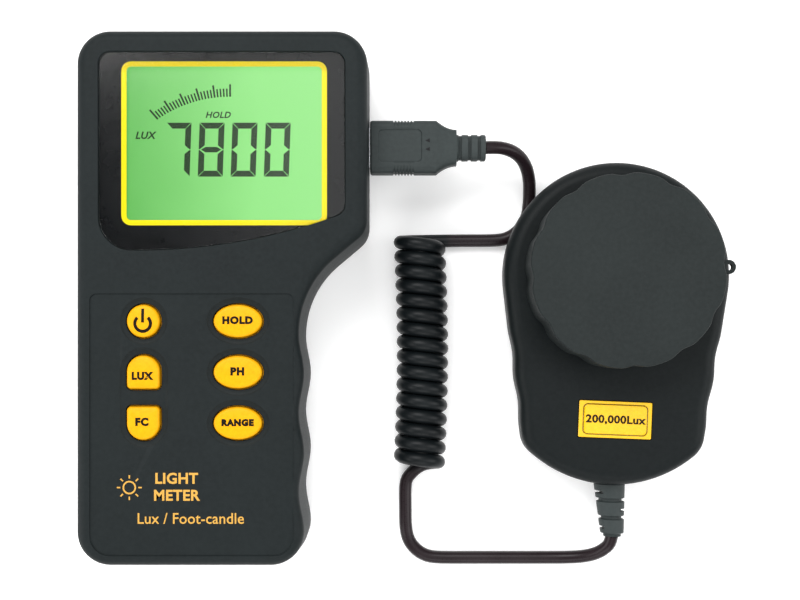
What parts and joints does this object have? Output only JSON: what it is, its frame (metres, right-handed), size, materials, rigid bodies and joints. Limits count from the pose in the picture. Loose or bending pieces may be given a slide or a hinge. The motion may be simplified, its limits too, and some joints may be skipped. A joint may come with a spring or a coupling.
{
  "type": "handheld light meter",
  "caption": "Handheld light meter with a backlit display, push keys and a remote round sensor head with a lift-off cap, joined by a curly cord and plug.",
  "frame": {"origin": "middle of the meter's flat back, on the surface that it lies on", "axes": "+Y runs to the meter's display end, +X towards the sensor head, +Z out of the meter's face"},
  "size_m": [0.1947, 0.1598, 0.037],
  "materials": {
    "case_plastic": "fine matte texture",
    "head_plastic": "fine matte texture",
    "cap_plastic": "fine matte texture",
    "key_plastic": "satin",
    "key_rubber": "matte",
    "lens": "polished",
    "mask_print": "gloss",
    "border_print": "gloss",
    "lcd": "lit panel",
    "light_guide": "frosted",
    "elastomer": "matte",
    "circuit_board": "solder mask",
    "chip": "moulded",
    "components": "mixed",
    "screw_steel": "zinc",
    "plug_steel": "nickel",
    "contact_gold": "plated",
    "white_plastic": "moulded",
    "battery_wrap": "satin",
    "black_plastic": "moulded",
    "wire": "insulation",
    "foam": "open cell",
    "plug_rubber": "satin moulded",
    "cord_sheath": "satin",
    "coil_sheath": "gloss",
    "diffuser_white": "opal",
    "filter": "polished",
    "silicon": "wafer",
    "label_gold": "domed resin"
  },
  "bodies": {
    "meter": {"front_shell": "case_plastic", "rear_shell": "case_plastic", "case_screws": "screw_steel", "key_mat": "key_rubber", "display_window": "lens", "display_mask": "mask_print", "view_frame": "border_print", "lcd_panel": "lcd", "backlight_panel": "light_guide", "zebra_strips": "elastomer", "main_board": "circuit_board", "main_chip": "chip", "board_parts": "components", "board_screws": "screw_steel", "usb_socket": "plug_steel", "socket_tongue": "white_plastic", "socket_contacts": "contact_gold", "battery": "battery_wrap", "battery_terminals": "plug_steel", "battery_snap": "black_plastic", "battery_leads": "wire", "battery_pad": "foam"},
    "door": {"battery_door": "case_plastic"},
    "power_key": {"power_button": "key_plastic"},
    "lux_key": {"lux_button": "key_plastic"},
    "fc_key": {"fc_button": "key_plastic"},
    "hold_key": {"hold_button": "key_plastic"},
    "peak_key": {"peak_button": "key_plastic"},
    "range_key": {"range_button": "key_plastic"},
    "sensor": {"plug_overmold": "plug_rubber", "plug_shell": "plug_steel", "plug_insert": "white_plastic", "plug_contacts": "contact_gold", "cord_upper": "cord_sheath", "cord_coil": "coil_sheath", "cord_lower": "cord_sheath", "cord_relief": "plug_rubber", "sensor_front_shell": "head_plastic", "sensor_rear_shell": "head_plastic", "diffuser_dome": "diffuser_white", "diffuser_ring": "black_plastic", "filter_glass": "filter", "filter_holder": "black_plastic", "photodiode": "silicon", "sensor_board": "circuit_board", "sensor_leads": "wire", "sensor_screws": "screw_steel", "range_label": "label_gold"},
    "cap": {"sensor_cap": "cap_plastic"}
  },
  "joints": [
    {"name": "plug_pull", "type": "slide", "parent": "meter", "child": "sensor", "axis": [1, 0, 0], "range_m": [0, 0.014]},
    {"name": "cap_lift", "type": "slide", "parent": "sensor", "child": "cap", "axis": [0, 0, 1], "range_m": [0, 0.03]},
    {"name": "door_slide", "type": "slide", "parent": "meter", "child": "door", "axis": [0, -1, 0], "range_m": [0, 0.057]},
    {"name": "power_press", "type": "slide", "parent": "meter", "child": "power_key", "axis": [0, 0, -1], "range_m": [0, 0.0008], "stiffness_N_per_m": 600, "springref_m": -0.0004},
    {"name": "lux_press", "type": "slide", "parent": "meter", "child": "lux_key", "axis": [0, 0, -1], "range_m": [0, 0.0008], "stiffness_N_per_m": 600, "springref_m": -0.0004},
    {"name": "fc_press", "type": "slide", "parent": "meter", "child": "fc_key", "axis": [0, 0, -1], "range_m": [0, 0.0008], "stiffness_N_per_m": 600, "springref_m": -0.0004},
    {"name": "hold_press", "type": "slide", "parent": "meter", "child": "hold_key", "axis": [0, 0, -1], "range_m": [0, 0.0008], "stiffness_N_per_m": 600, "springref_m": -0.0004},
    {"name": "peak_press", "type": "slide", "parent": "meter", "child": "peak_key", "axis": [0, 0, -1], "range_m": [0, 0.0008], "stiffness_N_per_m": 600, "springref_m": -0.0004},
    {"name": "range_press", "type": "slide", "parent": "meter", "child": "range_key", "axis": [0, 0, -1], "range_m": [0, 0.0008], "stiffness_N_per_m": 600, "springref_m": -0.0004}
  ]
}
